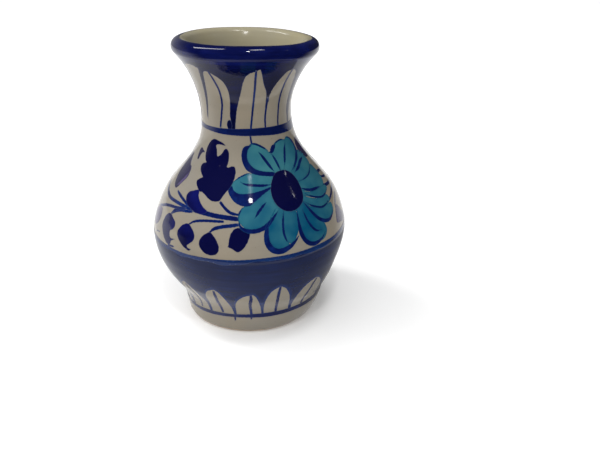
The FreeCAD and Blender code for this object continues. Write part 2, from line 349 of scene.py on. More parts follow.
def inside(points, loop):
    """Which points lie inside a closed loop."""
    x, y = points.T
    hits = np.zeros(len(points), bool)
    for (x0, y0), (x1, y1) in zip(loop, np.roll(loop, -1, axis=0)):
        if y0 == y1:
            continue
        crosses = (y0 > y) != (y1 > y)
        hits ^= crosses & (x < (x1 - x0) * (y - y0) / (y1 - y0) + x0)
    return hits


def in_patch(points, loops):
    """Which points lie inside the first loop and outside the others, its holes."""
    keep = inside(points, loops[0])
    for loop in loops[1:]:
        keep &= ~inside(points, loop)
    return keep


def distance_to(points, loops, seams=True):
    """How far each point is from the nearest edge of any loop, upright seams counted or not."""
    nearest = np.full(len(points), 1e9)
    for loop in loops:
        for a, b in zip(loop, np.roll(loop, -1, axis=0)):
            span = b - a
            if span[0] == 0 and not seams:
                continue
            share = np.clip((points - a) @ span / max(span @ span, 1e-12), 0, 1)
            gap = points - a - share[:, None] * span
            nearest = np.minimum(nearest, np.hypot(*gap.T))
    return nearest


def hairy(loop):
    """A loop with the slight raggedness that brush hairs leave, upright seams kept straight."""
    loop = np.array(loop, float)
    angle, height = loop.T
    across = np.roll(loop, -1, axis=0) - np.roll(loop, 1, axis=0)
    level = 0.75 * angle
    wobble = np.sin(level * 2.9 + height * 2.1) + 0.7 * np.sin(level * 5.3 - height * 4.7 + 1)
    wobble += 0.6 * np.sin(height * 8.3 + level * 7.1)
    loop[:, 1] += HAIR * wobble
    loop[:, 0] += np.where(across[:, 0] == 0, 0, 1.3 * HAIR * np.roll(wobble, 3))
    return loop


class Paint:
    """Gathers painted patches of one colour into one closed, slightly raised mesh."""

    GRID, ROW = 1.6, 0.87         # millimetres between fill points, and a row's share of that
    RIM = 0.4                     # how far from an edge the close row of points lies
    GRID_CLEAR, RIM_CLEAR = 0.9, 0.34      # how near an edge either kind of point may come

    def __init__(self):
        self.vertices, self.faces, self.normals, self.edge, self.tone = [], [], [], [], []
        self.count = 0

    def patch(self, outline, holes=(), lift=0.06, tone=0.5):
        """Adds one area of paint.  `tone` is how strong this stroke's colour is, 0 to 1."""
        outline, *holes = (hairy(loop) for loop in (outline, *holes))
        middle = outline[:, 1].mean()
        slope = float(slope_at(middle))
        flatten = np.array([float(millimetres_per_degree(middle)), math.sqrt(1 + slope**2)])
        loops = [loop * flatten for loop in (outline, *holes)]
        points = [p for loop in loops for p in loop] + list(self._fill_points(loops))
        edges, start = [], 0
        for loop in loops:
            size = len(loop)
            edges += [(start + i, start + (i + 1) % size) for i in range(size)]
            start += size
        flat, _, triangles, _, _, _ = delaunay_2d_cdt(
            [Vector(p) for p in points], edges, [], 0, 1e-5)
        flat = np.array([(p.x, p.y) for p in flat])
        triangles = np.array([t for t in triangles if len(t) == 3])
        keep = in_patch(flat[triangles].mean(axis=1), loops)
        self._add(flat, flatten, triangles[keep], distance_to(flat, loops, seams=False), lift, tone)

    def _fill_points(self, loops):
        """Points inside a patch: an even grid, and a close row along its edges."""
        low, high = loops[0].min(axis=0), loops[0].max(axis=0)
        rows = np.arange(low[1], high[1], self.GRID * self.ROW)
        grid = [(x + self.GRID / 2 * (i % 2), y) for i, y in enumerate(rows)
                for x in np.arange(low[0], high[0] + self.GRID, self.GRID)]
        rim = []
        for loop in loops:
            ahead = np.roll(loop, -2, axis=0) - np.roll(loop, 2, axis=0)
            length = np.linalg.norm(ahead, axis=1)[:, None]
            aside = np.stack([-ahead[:, 1], ahead[:, 0]], axis=1) / np.maximum(length, 1e-9)
            rim += [loop + aside * self.RIM, loop - aside * self.RIM]
        rim = np.concatenate(rim)[::2]
        points = np.concatenate([np.array(grid), rim])
        near = np.concatenate([np.full(len(grid), self.GRID_CLEAR),
                               np.full(len(rim), self.RIM_CLEAR)])
        keep = in_patch(points, loops)
        points, near = points[keep], near[keep]
        return points[distance_to(points, loops) > near]

    def _add(self, flat, flatten, triangles, edge, lift, tone):
        used = np.unique(triangles)
        renumber = np.full(len(flat), -1)
        renumber[used] = np.arange(len(used))
        chart, edge, triangles = flat[used] / flatten, edge[used], renumber[triangles]
        top, normal = on_pot(chart, lift)
        under, _ = on_pot(chart, -PAINT_ROOT)
        size = len(used)
        sides = {side for a, b, c in triangles.tolist() for side in ((a, b), (b, c), (c, a))}
        rims = sorted(side for side in sides if side[::-1] not in sides)
        base = self.count
        self.faces += [(base + a, base + b, base + c) for a, b, c in triangles]
        self.faces += [(base + size + c, base + size + b, base + size + a)
                       for a, b, c in triangles]
        self.faces += [(base + b, base + a, base + size + a, base + size + b) for a, b in rims]
        self.vertices += [top, under]
        self.normals += [normal, -normal]
        self.edge += [edge, edge]
        self.tone += [np.full(size, tone)] * 2
        self.count += 2 * size

    def build(self, name, material, slot, *nodes):
        made = new_object(name, np.concatenate(self.vertices), self.faces, material,
                          np.concatenate(self.normals))
        point_values(made, "edge", np.concatenate(self.edge))
        point_values(made, "tone", np.concatenate(self.tone))
        return finish_piece(made, slot, *nodes)


# ---------------------------------------------------------------- materials
class Nodes:
    """Short calls for the procedural nodes of a material or of the world."""

    def __init__(self, tree):
        self.tree = tree

    def node(self, kind, inputs=None, **settings):
        """A node whose inputs are given as numbers or as other nodes' outputs."""
        made = self.tree.nodes.new(kind)
        for label, value in settings.items():
            setattr(made, label, value)
        for key, value in (inputs or {}).items():
            if isinstance(value, bpy.types.NodeSocket):
                self.tree.links.new(value, made.inputs[key])
            else:
                made.inputs[key].default_value = value
        return made

    def between(self, value, low, high, start=0.0, end=1.0, kind="LINEAR"):
        """Maps value from low..high to start..end, clamped."""
        return self.node("ShaderNodeMapRange", {
            "Value": value, "From Min": low, "From Max": high, "To Min": start, "To Max": end,
        }, interpolation_type=kind).outputs["Result"]

    def math(self, operation, a, b):
        return self.node("ShaderNodeMath", {0: a, 1: b}, operation=operation).outputs[0]

    def mix(self, share, a, b):
        """Colour a where share is 0, and colour b where it is 1."""
        a, b = ((*value, 1.0) if isinstance(value, tuple) else value for value in (a, b))
        return self.node("ShaderNodeMix", {0: share, 6: a, 7: b}, data_type="RGBA").outputs[2]


class Surface(Nodes):
    """A Principled material, with its patterns laid out in the object's own metres."""

    def __init__(self, name, **plain):
        self.material = bpy.data.materials.new(name)
        self.material.use_nodes = True
        super().__init__(self.material.node_tree)
        self.shader = self.tree.nodes["Principled BSDF"]
        for socket, value in plain.items():
            self.shader.inputs[socket.replace("_", " ")].default_value = value
        self.where = self.node("ShaderNodeTexCoord").outputs["Object"]

    def noise(self, scale, detail=3.0, stretch=(1, 1, 1), offset=0.0):
        place = self.node("ShaderNodeMapping", {
            "Vector": self.where, "Scale": stretch, "Location": (offset, offset * 0.7, -offset)})
        return self.node("ShaderNodeTexNoise", {
            "Vector": place.outputs[0], "Scale": scale, "Detail": detail}).outputs["Fac"]

    def cells(self, scale, feature="F1"):
        made = self.node("ShaderNodeTexVoronoi", {"Vector": self.where, "Scale": scale},
                         feature=feature)
        return made.outputs["Distance"]

    def attribute(self, name):
        return self.node("ShaderNodeAttribute", attribute_name=name).outputs["Fac"]

    def feed(self, label, value):
        self.tree.links.new(value, self.shader.inputs[label])

    def colour(self, value):
        self.feed("Base Color", value)

    def roughness(self, value):
        self.feed("Roughness", value)

    def bump(self, *layers):
        """Stacks bump layers, each given as (height value, depth in millimetres)."""
        normal = None
        for height, depth in layers:
            inputs = {"Height": height, "Distance": depth * MM, "Strength": 1.0}
            if normal is not None:
                inputs["Normal"] = normal
            normal = self.node("ShaderNodeBump", inputs).outputs[0]
        self.feed("Normal", normal)


def glaze_skin(surface, rough_low=0.035, rough_high=0.09):
    """The glassy skin shared by every glazed colour: slow ripples, orange peel and pinholes."""
    surface.shader.inputs["IOR"].default_value = GLAZE_IOR
    patches = surface.noise(55, 4, offset=3.1)
    surface.roughness(surface.between(patches, 0.3, 0.7, rough_low, rough_high))
    ripple = surface.noise(70, 1.5)
    peel = surface.noise(650, 2, offset=1.7)
    pits = surface.between(surface.cells(330), 0.03, 0.075)
    # only some of the cells hold a pinhole
    rare = surface.between(surface.noise(210, 1, offset=9.0), 0.60, 0.64)
    pinhole = surface.math("MAXIMUM", pits, surface.math("SUBTRACT", 1.0, rare))
    surface.bump((ripple, 0.045), (peel, 0.004), (pinhole, 0.05))
    return pinhole


def white_glaze():
    surface = Surface("white_outer_glaze")
    warm, cool = (0.236, 0.203, 0.153), (0.218, 0.200, 0.168)
    tone = surface.mix(surface.between(surface.noise(22, 4), 0.35, 0.65), warm, cool)
    bands = surface.between(surface.noise(1, 3, stretch=(18, 18, 260)), 0.35, 0.75)
    tone = surface.mix(surface.math("MULTIPLY", bands, 0.22), tone, (0.188, 0.166, 0.132))
    crazing = surface.between(surface.cells(95, "DISTANCE_TO_EDGE"), 0.0, 0.006, 1.0, 0.0)
    tone = surface.mix(surface.math("MULTIPLY", crazing, 0.16), tone, (0.22, 0.19, 0.15))
    pinhole = glaze_skin(surface)
    specks = surface.between(surface.noise(780, 2, offset=5.0), 0.72, 0.76)
    tone = surface.mix(surface.math("MULTIPLY", specks, 0.5), tone, (0.12, 0.085, 0.05))
    surface.colour(surface.mix(pinhole, (0.16, 0.12, 0.085), tone))
    return surface.material


def liner_glaze():
    surface = Surface("white_liner_glaze")
    tone = surface.mix(surface.between(surface.noise(30, 4), 0.35, 0.65),
                       (0.300, 0.268, 0.172), (0.275, 0.255, 0.190))
    rings = surface.between(surface.noise(1, 3, stretch=(14, 14, 420)), 0.3, 0.75)
    tone = surface.mix(surface.math("MULTIPLY", rings, 0.3), tone, (0.235, 0.208, 0.134))
    pinhole = glaze_skin(surface, 0.10, 0.2)
    surface.colour(surface.mix(pinhole, (0.18, 0.14, 0.09), tone))
    return surface.material


def finish_stroke(surface, tone, thin, reach, share, under, in_pinholes):
    """Thins a stroke's colour near its edge, lets what lies under show there, and glazes it."""
    feather = surface.between(surface.attribute("edge"), 0.0, reach, 1.0, 0.0)
    tone = surface.mix(surface.math("MULTIPLY", feather, share), tone, thin)
    showing = surface.between(surface.attribute("edge"), 0.0, 0.16, MOST_SHOWING, 0.0)
    uneven = surface.between(surface.noise(420, 2), 0.3, 0.6, 0.3, 1.0)
    tone = surface.mix(surface.math("MULTIPLY", showing, uneven), tone, under)
    pinhole = glaze_skin(surface)
    surface.colour(surface.mix(pinhole, in_pinholes, tone))
    return surface.material


def brushed_cobalt(name, dark, light, stretch, thin=(0.008, 0.026, 0.120), reach=0.35,
                   under=WHITE_SHOWING):
    """Cobalt brushed on in streaks along the brush."""
    surface = Surface(name)
    streaks = surface.between(surface.noise(1, 5, stretch=stretch), 0.38, 0.66)
    pools = surface.between(surface.noise(60, 3, offset=2.0), 0.35, 0.7)
    tone = surface.mix(surface.math("MULTIPLY", streaks, pools), dark, light)
    return finish_stroke(surface, tone, thin, reach, 0.6, under, light)


def painted_colour(name, weak, strong, thin, swing, under=WHITE_SHOWING, reach=0.45):
    """A brushed colour whose strength follows each stroke's own `tone`."""
    surface = Surface(name)
    drift = surface.between(surface.noise(85, 2, offset=4.0), 0.25, 0.75, -swing, swing)
    load = surface.math("ADD", surface.attribute("tone"), drift)
    tone = surface.mix(surface.between(load, 0.0, 1.0), weak, strong)
    return finish_stroke(surface, tone, thin, reach, 0.4, under, weak)


def bare_clay():
    surface = Surface("bare_clay")
    tone = surface.mix(surface.between(surface.noise(120, 5), 0.3, 0.7),
                       (0.30, 0.225, 0.155), (0.38, 0.300, 0.215))
    grog = surface.between(surface.noise(1500, 2, offset=6.0), 0.64, 0.70)
    surface.colour(surface.mix(grog, tone, (0.16, 0.10, 0.06)))
    surface.roughness(surface.between(surface.noise(500, 3), 0.3, 0.7, 0.72, 0.92))
    wheel = surface.noise(1, 2, stretch=(30, 30, 700))
    surface.bump((surface.noise(900, 5), 0.10), (wheel, 0.06))
    return surface.material


def from_axis(surface, near, far, start, end):
    """A value that goes from start to end between two distances from the wheel axis, in metres."""
    flat = surface.node("ShaderNodeVectorMath", {0: surface.where, 1: (1.0, 1.0, 0.0)},
                        operation="MULTIPLY")
    reach = surface.node("ShaderNodeVectorMath", {0: flat.outputs[0]}, operation="LENGTH")
    return surface.between(reach.outputs["Value"], near, far, start, end)


def floor_material():
    """White card that glows: a little by the pot, which pales the pot's shadow on it, and more
    further out, where the lamps no longer reach.
    """
    surface = Surface("studio_floor", Roughness=0.85, Emission_Color=(1.0, 1.0, 1.0, 1.0))
    surface.colour(surface.mix(surface.noise(3, 3), (0.80, 0.80, 0.80), (0.83, 0.83, 0.83)))
    # painted light: the glow rises from 0.2 by the pot to 0.5 far out, paling the shadow and
    # lighting the far table
    surface.feed("Emission Strength", from_axis(surface, 0.03, 0.9, 0.20, 0.50))
    return surface.material


def black_card():
    """A card whose ends fade out, by the `cover` value of its corners."""
    surface = Surface("black_card", Roughness=1.0)
    surface.colour(surface.mix(surface.noise(20, 2), (0.010, 0.011, 0.014), (0.016, 0.017, 0.020)))
    surface.feed("Alpha", surface.attribute("cover"))
    return surface.material


def grey_card():
    """A card that grows paler to the left: painted light and shade of the table as the glaze
    mirrors it, lit from the left and shaded to the right.
    """
    surface = Surface("grey_card", Roughness=1.0)
    across = surface.node("ShaderNodeSeparateXYZ", {"Vector": surface.where}).outputs["X"]
    # painted reflection of the table's light and shade: pale on the left, dark on the right
    light = surface.between(across, -0.11, 0.10)
    surface.colour(surface.mix(light, (0.80, 0.80, 0.80), (0.36, 0.36, 0.36)))
    return surface.material


WHITE = white_glaze()
LINER = liner_glaze()
CLAY = bare_clay()
LIP_BLUE = brushed_cobalt("cobalt_lip", (0.0016, 0.0030, 0.036), (0.005, 0.009, 0.085),
                          (60, 60, 500))
GROUND_BLUE = brushed_cobalt("cobalt_ground", (0.0014, 0.0024, 0.022), (0.003, 0.005, 0.048),
                             (60, 60, 400))
BAND_BLUE = brushed_cobalt("cobalt_band", (0.0024, 0.0066, 0.036), (0.004, 0.0125, 0.070),
                           (20, 20, 520), thin=(0.009, 0.030, 0.140), reach=2.2)
RING_BLUE = brushed_cobalt("cobalt_ring", (0.0018, 0.0048, 0.040), (0.0040, 0.0120, 0.085),
                           (20, 20, 700), thin=(0.007, 0.021, 0.115), reach=0.6)
BRIGHT_BLUE = brushed_cobalt("cobalt_thin", (0.004, 0.014, 0.070), (0.010, 0.036, 0.125),
                             (16, 16, 900))
LINE_BLUE = brushed_cobalt("cobalt_line", (0.0018, 0.0055, 0.055), (0.004, 0.020, 0.115),
                           (300, 300, 300))
FLOWER_BLUE = brushed_cobalt("cobalt_flower", (0.0018, 0.0055, 0.055), (0.004, 0.020, 0.115),
                             (300, 300, 300), thin=(0.004, 0.026, 0.105), under=TEAL_SHOWING)
TURQUOISE = painted_colour("turquoise", (0.040, 0.165, 0.190), (0.002, 0.060, 0.122),
                           (0.003, 0.042, 0.092), 0.34, under=(0.016, 0.060, 0.105), reach=0.8)
INDIGO = painted_colour("indigo", (0.070, 0.050, 0.125), (0.0020, 0.0024, 0.030),
                        (0.006, 0.008, 0.070), 0.10)
VIVID_INDIGO = painted_colour("vivid_indigo", (0.0045, 0.0070, 0.100), (0.0020, 0.0024, 0.030),
                              (0.006, 0.010, 0.080), 0.45)


# ---------------------------------------------------------------- clay, slip and glaze bodies
def wall_section(low, high):
    """The clay between two heights, as a closed section."""
    outer = outer_line(GLAZE_OUTSIDE, low, high)
    inner = bore_line(WALL - GLAZE_INSIDE, GLAZE_OUTSIDE, low, high)
    return outer + inner[::-1]


def build_clay():
    foot_floor = FLOOR_TOP - GLAZE_INSIDE
    outside = outer_line(GLAZE_OUTSIDE, 2.2, SEAMS[0])
    inside_line = bore_line(WALL - GLAZE_INSIDE, GLAZE_OUTSIDE, foot_floor, SEAMS[0])
    well_edge = FOOT_RING_INNER - FOOT_WELL_DRAFT
    underside = [
        (0, FOOT_WELL_DEPTH), (MID_FLOOR, FOOT_WELL_DEPTH), (well_edge - 0.5, FOOT_WELL_DEPTH),
        (well_edge, FOOT_WELL_DEPTH - 0.4), (FOOT_RING_INNER - 0.15, 0.4),
        (FOOT_RING_INNER + 0.35, 0.0), (FOOT_EDGE - 0.6, 0.0), (FOOT_EDGE + 0.4, 0.25),
        (FOOT_EDGE + 1.4, 1.0),
    ]
    section = underside + outside + inside_line[::-1] + [(MID_FLOOR, foot_floor), (0, foot_floor)]
    finish_piece(lathe("thrown_foot", section, CLAY), "clay", "clay_foot")
    for place, low, high in zip(["lower_belly", "shoulder", "neck"], SEAMS, SEAMS[1:]):
        piece = lathe(f"thrown_{place}", wall_section(low + SLIP, high), CLAY, 128)
        finish_piece(piece, "clay", f"clay_{place}")
    roll = outer_line(GLAZE_OUTSIDE, SEAMS[3] + SLIP, 150)
    roll += roll_arc(GLAZE_OUTSIDE, ROLL_OUTER_CREASE, ROLL_INNER_CREASE)
    roll += bore_line(WALL - GLAZE_INSIDE, GLAZE_OUTSIDE, SEAMS[3] + SLIP, 150)[::-1]
    finish_piece(lathe("thrown_lip_roll", roll, CLAY, 128), "clay", "clay_lip_roll")
    for place, seam in zip(["foot", "waist", "neck", "lip"], SEAMS):
        piece = lathe(f"slip_at_{place}", wall_section(seam, seam + SLIP), CLAY, 128)
        finish_piece(piece, "slip", f"slip_joint_{place}")


def blend_into(arc, throat, count=12):
    """The smooth hollow by which the glaze runs off the roll into the neck, as a cubic Bezier."""
    start, end = np.array(arc[-1]), np.array(throat[-1])
    leave, arrive = start - np.array(arc[-2]), np.array(throat[-2]) - end
    reach = np.linalg.norm(end - start) * 0.4
    a = start + leave / np.linalg.norm(leave) * reach
    b = end - arrive / np.linalg.norm(arrive) * reach
    hollow = []
    for t in np.linspace(0, 1, count)[1:-1]:
        s = 1 - t
        hollow.append(tuple(s**3 * start + 3 * t * s**2 * a + 3 * t**2 * s * b + t**3 * end))
    return hollow


def build_glazes():
    outer = outer_line(0.0, GLAZE_LINE, 150, 0.8) + roll_arc(0.05, ROLL_OUTER_CREASE, 40)
    outer += roll_arc(GLAZE_OUTSIDE, 40, ROLL_OUTER_CREASE)
    outer += outer_line(GLAZE_OUTSIDE, GLAZE_LINE, 150)[::-1]
    outer[0] = (outer[0][0] - 0.25, outer[0][1])        # the coat's lower edge is rounded off
    piece = lathe("outer_glaze_coat", outer, WHITE, 256)
    finish_piece(piece, "outer_glaze", "white_outer_glaze")
    throat = bore_line(WALL, 0.0, FLOOR_TOP, 139)
    liner = roll_arc(0.03, 60, 150) + blend_into(roll_arc(0.03, 60, 150), throat)
    liner += throat[::-1] + [(MID_FLOOR, FLOOR_TOP), (0, FLOOR_TOP)]
    liner += [(0, FLOOR_TOP - GLAZE_INSIDE), (MID_FLOOR, FLOOR_TOP - GLAZE_INSIDE)]
    liner += bore_line(WALL - GLAZE_INSIDE, GLAZE_OUTSIDE, FLOOR_TOP - GLAZE_INSIDE, 150)
    liner += roll_arc(GLAZE_OUTSIDE, ROLL_INNER_CREASE, 60)
    piece = lathe("liner_glaze_coat", liner, LINER, 256)
    finish_piece(piece, "liner_glaze", "white_liner_glaze")


def build_lip():
    """The cobalt coat on the roll, with a wavering edge where the brush stopped at the crest."""
    segments, outside_points, inside_points = 288, 40, 20
    skirt = [(float(radius_at(z)) + out, z)
             for z, out in ((143.2, -0.10), (143.8, 0.03), (144.5, 0.09))]
    arc_points = outside_points - len(skirt)
    sections = []
    for turn in np.arange(segments) * 2 * math.pi / segments:
        last = LIP_PAINT_EDGE - LIP_PAINT_SHORT * math.sin(turn / 2) ** 2
        last += 3.0 * math.sin(3 * turn + 0.8) + 2.2 * math.sin(7 * turn)
        last += 1.2 * math.sin(17 * turn)
        outer = skirt + roll_arc(0.0, ROLL_OUTER_CREASE + 4, last, arc_points)
        sections.append(outer + roll_arc(0.35, last, ROLL_OUTER_CREASE, inside_points))
    made = revolved("lip_glaze_coat", sections, LIP_BLUE)
    edge = np.concatenate([np.linspace(8, 0, outside_points), np.zeros(inside_points)])
    point_values(made, "edge", np.tile(edge, segments))
    finish_piece(made, "cobalt_glaze", "cobalt_lip_glaze")


# ---------------------------------------------------------------- painted bands
def sine(angle, phase=0.0, times=1):
    return math.sin(math.radians(times * angle + phase))


def foot_line(angle):
    return 12.9 + 3.2 * sine(angle) + 0.5 * sine(angle, 126, 3)


def foot_line_half(angle):
    return 1.25 + 0.4 * sine(angle, 10) + 0.12 * sine(angle, 0, 7)


def belly_top(angle):
    return 53.5 + 2.7 * sine(angle) + 0.12 * sine(angle, 40, 5) + 0.08 * sine(angle, 0, 11)


def strip_low(angle):
    """The ragged lower edge of the brush stroke that trims the top of the belly band."""
    ragged = 0.45 * sine(angle, 10, 7) + 0.35 * sine(angle, 50, 13) + 0.22 * sine(angle, 0, 29)
    return belly_top(angle) - 2.1 + ragged


def ring_low(angle):
    return 107.5 - 0.4 * sine(angle) + 0.12 * sine(angle, 30, 5)


def ring_high(angle):
    return 111.0 + 0.8 * sine(angle) + 0.2 * sine(angle, 60, 3)


# The three neck petals in front as (left side, right side), base to tip.  They repeat twice more.
NECK_PETALS = [
    [[(-55.5, 109.5), (-53.4, 115), (-50.4, 121), (-47.6, 127), (-44.2, 134), (-41.2, 138.2),
      (-38, 139.6)],
     [(-34.5, 139.5), (-29.5, 138.0), (-24.5, 136.2), (-20.4, 133.6), (-18.0, 130), (-17.4, 125),
      (-19.0, 118), (-21.4, 109.5)]],
    [[(-14.0, 109.5), (-12.6, 114), (-10.2, 120), (-7.2, 125), (-4.2, 130), (-2.2, 134.4),
      (0.4, 137.8), (4.2, 139.8), (8.6, 140.8)],
     [(12.4, 142.0), (14.6, 139.4), (17.2, 135.4), (20.0, 132.4), (22.8, 129.8), (24.0, 126),
      (23.6, 118), (22.0, 109.5)]],
    [[(24.4, 109.5), (25.6, 118), (26.8, 124), (28.6, 129), (32.0, 133), (36.4, 136.8),
      (40.4, 139.8)],
     [(46.0, 140.8), (51.0, 139.6), (55.6, 137), (58.8, 133), (60.4, 128), (60.4, 120),
      (59.8, 109.5)]],
]
# The last petal of the left-hand group leans in against the first of the front ones, so close
# that only a line of the blue is left between them: its sides, as seen from in front.
LEANING_PETAL = [
    [(-95.6, 109.5), (-94.6, 118), (-92.4, 125), (-88.0, 131), (-80.5, 136.2), (-70.0, 139.8),
     (-59.0, 141.8), (-50.5, 142.0)],
    [(-44.5, 140.6), (-47.6, 136.5), (-50.2, 131), (-52.6, 124), (-55.2, 117), (-57.6, 109.5)],
]
NECK_RIBS = [
    [(-33.4, 110.6), (-30.4, 117), (-27.6, 123), (-28.0, 129), (-31.0, 134.6), (-34.6, 140.0)],
    [(5.0, 110.6), (7.6, 117), (9.4, 124), (10.0, 131), (9.5, 137), (9.2, 141.6)],
    [(42.0, 111.0), (43.4, 118), (43.2, 126), (44.0, 133), (45.6, 140.6)],
]
NECK_BLOTS = [
    [(-22.0, 114.8), (-18.8, 115.0), (-17.2, 112.6), (-18.6, 110.6), (-22.6, 110.6),
     (-24.0, 112.8)],
    [(27.4, 126.4), (28.2, 125.2), (27.2, 124.2), (25.6, 124.6)],
]
# Single strokes: one beside the third petal, and one that runs down past the ring.
NECK_STRAYS = [
    [(26.4, 127), (25.4, 121.5), (24.0, 116), (23.6, 110.8)],
    [(3.6, 108.0), (3.9, 105.8), (4.3, 103.6)],
]
NECK_REPEATS = (0, 120, 240)

# The five foot petals in front as (left base, right base, tip, tip height).
FOOT_PETALS = [
    (-56.0, -37.0, -45.5, 31.5), (-34.5, -15.5, -22.0, 32.4), (-13.2, 5.8, 1.6, 31.0),
    (7.6, 27.2, 18.6, 35.4), (29.6, 57.0, 45.0, 33.8),
]
FOOT_RIBS = [
    [(-45.6, 12.4), (-44.4, 20), (-45.4, 29.8)],
    [(-24.6, 13.6), (-24.6, 20), (-23.2, 26), (-22.4, 31.8)],
    [(-1.8, 13.0), (-1.7, 18), (-1.2, 23), (0.2, 27.6), (0.4, 31.2)],
    [(16.8, 14.0), (17.2, 22), (17.6, 29), (18.4, 35.6)],
    [(39.4, 15.6), (41.2, 22), (44.0, 29), (46.2, 33.2)],
]
BACK_START = 59               # where the petals round the back begin
OTHER_FOOT_PETALS = 11
BACK_PITCH = (360 - 2 * BACK_START + 2) / OTHER_FOOT_PETALS
# The belly band is painted in three sectors, whose seams run between petals.
BAND_SEAMS = (-58.4, 58.2, BACK_START + BACK_PITCH * 5 - 1.5, 301.6)
NARROW_RIBS_BEFORE = -40      # the first foot petal in front has a finer rib
FOOT_DRIPS = [
    [(-14.8, 13.0), (-14.9, 11.0), (-14.8, 9.0)],
    [(-2.0, 12.6), (-2.0, 11.6), (-2.0, 10.6)],
]


def repeated(points, turn):
    """Chart points turned round the pot, drifting a little as a hand-painted repeat does."""
    if not turn:
        return points
    return [(angle + turn + 0.9 * sine(height, turn, 7), height + 0.45 * sine(angle, turn + 40, 5))
            for angle, height in points]


def foot_petal(left, right, tip, top):
    """A blunt arch between two feet on the base line, leaning to its tip."""
    sides = []
    for foot in (left, right):
        base = foot_line(foot)
        side = []
        for share in np.linspace(0, 1, 14):
            pull = 0.96 * (1 - (1 - share**2.4) ** 0.62)
            side.append((foot + (tip - foot) * pull, base + (top - base) * share))
        sides.append(side)
    return closed_outline(sides[0], sides[1][::-1])


def sector(start, end, lower, upper, step=1.5):
    """The outline of a band between two functions of the angle, closed by upright seams."""
    angles = np.linspace(start, end, int((end - start) / step) + 1)
    bottom = [(a, lower(a)) for a in angles]
    top = [(a, upper(a)) for a in angles[::-1]]
    share = np.linspace(0, 1, 24)[1:-1]
    right = [(end, lower(end) + (upper(end) - lower(end)) * s) for s in share]
    left = [(start, upper(start) + (lower(start) - upper(start)) * s) for s in share]
    return np.array(bottom + right + top + left)


def leaning_petal(turn):
    """The petal that crosses the seam between two groups, `turn` degrees from its own place."""
    return closed_outline(*([(angle + turn, height) for angle, height in side]
                            for side in LEANING_PETAL))


def build_neck_bands():
    ground, ribs = Paint(), Paint()
    for turn in NECK_REPEATS:
        holes = [closed_outline(repeated(left, turn), repeated(right, turn))
                 for left, right in NECK_PETALS]
        if turn == NECK_REPEATS[0]:
            holes.append(leaning_petal(0))
        if turn == NECK_REPEATS[-1]:
            holes[-1] = leaning_petal(360)
        outline = sector(turn - 58, turn + 62, lambda a: ring_low(a) + 1.5, lambda a: 145.2)
        ground.patch(outline, holes, lift=0.05)
        for path in NECK_RIBS:
            ribs.patch(brush_outline(repeated(path, turn), 1.05, 0.1, 0.25, 0.4), lift=0.09)
    for blot in NECK_BLOTS:
        ground.patch(closed_outline(blot), lift=0.08)
    ground.build("neck_ground", GROUND_BLUE, "cobalt_paint", "cobalt_neck_ground")
    for path in NECK_STRAYS:
        ribs.patch(brush_outline(path, 1.0, 0.15, 0.25, 0.5), lift=0.08)
    ribs.build("neck_petal_ribs", LINE_BLUE, "cobalt_paint", "cobalt_neck_petal_ribs")
    ring = Paint()
    ring.patch(sector(-180, 180, ring_low, ring_high), lift=0.12)
    ring.build("neck_ring", RING_BLUE, "cobalt_paint", "cobalt_neck_ring")


def foot_petals():
    """The five petals in front, then eleven more round the back that differ a little."""
    hand = random.Random(11)
    petals, ribs = list(FOOT_PETALS), list(FOOT_RIBS)
    for i in range(OTHER_FOOT_PETALS):
        left = BACK_START + BACK_PITCH * i + hand.uniform(-0.5, 0.5)
        right = left + BACK_PITCH - 2.7 + hand.uniform(-0.6, 0.6)
        tip = (left + right) / 2 + hand.uniform(-2.0, 2.0)
        top = 31.6 + 1.2 * sine(tip) + hand.uniform(-1.0, 1.0)
        petals.append((left, right, tip, top))
        middle = (left + right) / 2
        ribs.append([(middle - 0.6, foot_line(middle)), (middle, 20), (tip + 0.4, top - 0.6)])
    return petals, ribs


def build_foot_bands():
    petals, ribs = foot_petals()
    band, strip, veins, line = Paint(), Paint(), Paint(), Paint()
    for start, end in zip(BAND_SEAMS, BAND_SEAMS[1:]):
        holes = [foot_petal(*p) for p in petals if start < p[2] < end]
        outline = sector(start, end, lambda a: foot_line(a) - 0.5, belly_top)
        band.patch(outline, holes, lift=0.05)
    band.build("belly_band", BAND_BLUE, "cobalt_paint", "cobalt_belly_band")
    strip.patch(sector(-180, 180, strip_low, belly_top), lift=0.10)
    strip.build("belly_band_edge", BRIGHT_BLUE, "cobalt_paint")
    for path in ribs:
        width = 1.6 if path[0][0] > NARROW_RIBS_BEFORE else 1.1
        veins.patch(brush_outline(path, width, 0.2, 0.3, 0.5), lift=0.09)
    for drip in FOOT_DRIPS:
        veins.patch(brush_outline(drip, 1.0, 0.1, 0.4, 0.6), lift=0.09)
    veins.build("foot_petal_ribs", LINE_BLUE, "cobalt_paint", "cobalt_foot_petal_ribs")
    line.patch(sector(-180, 180, lambda a: foot_line(a) - foot_line_half(a),
                      lambda a: foot_line(a) + foot_line_half(a)), lift=0.12)
    line.build("foot_line", RING_BLUE, "cobalt_paint", "cobalt_foot_line")


